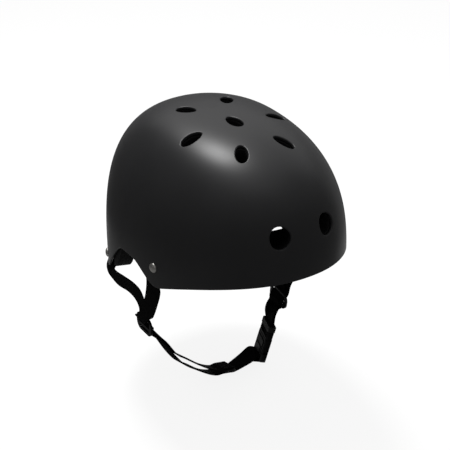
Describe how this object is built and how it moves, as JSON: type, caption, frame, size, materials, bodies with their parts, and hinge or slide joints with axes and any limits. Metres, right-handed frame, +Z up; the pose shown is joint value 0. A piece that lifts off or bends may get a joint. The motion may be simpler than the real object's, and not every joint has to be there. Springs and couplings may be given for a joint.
{
  "type": "skate helmet",
  "caption": "Round hard-shell skate helmet with oval vents, foam liner, comfort pads, riveted side straps, sliding dividers, chin adjuster and side-release buckle.",
  "frame": {"origin": "on the crown axis, level with the ear-side edge of the shell, where a head fills the helmet", "axes": "+Z up to the crown, -Y to the wearer's front, +X to the wearer's left"},
  "size_m": [0.204, 0.27, 0.2951],
  "materials": {
    "shell": "satin",
    "foam": "matte",
    "pad_cloth": "matte",
    "hook_tape": "matte",
    "rivet_steel": "polished",
    "washer_steel": "satin",
    "webbing": "matte",
    "hardware": "satin",
    "keeper_rubber": "matte"
  },
  "bodies": {
    "helmet": {"outer_shell": "shell", "foam_liner": "foam", "front_pad": "pad_cloth", "back_pad": "pad_cloth", "side_pad_right": "pad_cloth", "side_pad_left": "pad_cloth", "crown_pad": "pad_cloth", "hook_patches": "hook_tape", "rivets": "rivet_steel", "rivet_washers": "washer_steel", "front_webbing_right": "webbing", "rear_webbing_right": "webbing", "front_webbing_left": "webbing", "rear_webbing_left": "webbing"},
    "chin_loop": {"chin_webbing_inner": "webbing", "chin_webbing_outer": "webbing", "left_chin_webbing": "webbing", "buckle_housing": "hardware"},
    "divider_right": {"divider_right": "hardware"},
    "divider_left": {"divider_left": "hardware"},
    "chin_adjuster": {"chin_adjuster": "hardware"},
    "buckle_tongue": {"buckle_tongue": "hardware"},
    "buckle_prong_front": {"buckle_prong_front": "hardware"},
    "buckle_prong_rear": {"buckle_prong_rear": "hardware"},
    "keeper": {"keeper": "keeper_rubber"}
  },
  "joints": [
    {"name": "chin_swing", "type": "hinge", "parent": "helmet", "child": "chin_loop", "pos_m": [0, -0.0093, 0.03], "axis": [1, 0, 0], "range_deg": [-20, 15], "deforming": ["front_webbing_right", "rear_webbing_right", "front_webbing_left", "rear_webbing_left"]},
    {"name": "divider_right_slide", "type": "slide", "parent": "chin_loop", "child": "divider_right", "axis": [0, 0.0349, 0.9994], "range_m": [0, 0.01], "deforming": ["front_webbing_right", "rear_webbing_right", "chin_webbing_inner", "chin_webbing_outer"]},
    {"name": "divider_left_slide", "type": "slide", "parent": "chin_loop", "child": "divider_left", "axis": [0, -0.1736, 0.9848], "range_m": [0, 0.01], "deforming": ["front_webbing_left", "rear_webbing_left", "left_chin_webbing"]},
    {"name": "adjuster_slide", "type": "slide", "parent": "chin_loop", "child": "chin_adjuster", "axis": [0.9781, 0, -0.2079], "range_m": [-0.005, 0.005], "deforming": ["chin_webbing_inner", "chin_webbing_outer"]},
    {"name": "buckle_release", "type": "slide", "parent": "chin_loop", "child": "buckle_tongue", "axis": [0.2542, -0.0826, 0.9636], "range_m": [0, 0.018], "deforming": ["left_chin_webbing", "buckle_prong_front", "buckle_prong_rear"]},
    {"name": "prong_front_press", "type": "hinge", "parent": "buckle_tongue", "child": "buckle_prong_front", "pos_m": [0.04806, -0.02061, -0.10529], "axis": [0.9165, -0.2978, -0.2672], "range_deg": [0, 12], "stiffness_Nm_per_rad": 0.05},
    {"name": "prong_rear_press", "type": "hinge", "parent": "buckle_tongue", "child": "buckle_prong_rear", "pos_m": [0.05338, -0.00425, -0.10529], "axis": [0.9165, -0.2978, -0.2672], "range_deg": [-12, 0], "stiffness_Nm_per_rad": 0.05},
    {"name": "keeper_slide", "type": "slide", "parent": "buckle_tongue", "child": "keeper", "axis": [0.2542, -0.0826, 0.9636], "range_m": [0, 0.004], "deforming": ["left_chin_webbing"]}
  ],
  "couplings": [
    {"joint": "prong_rear_press", "follows": "prong_front_press", "ratio": -1}
  ]
}
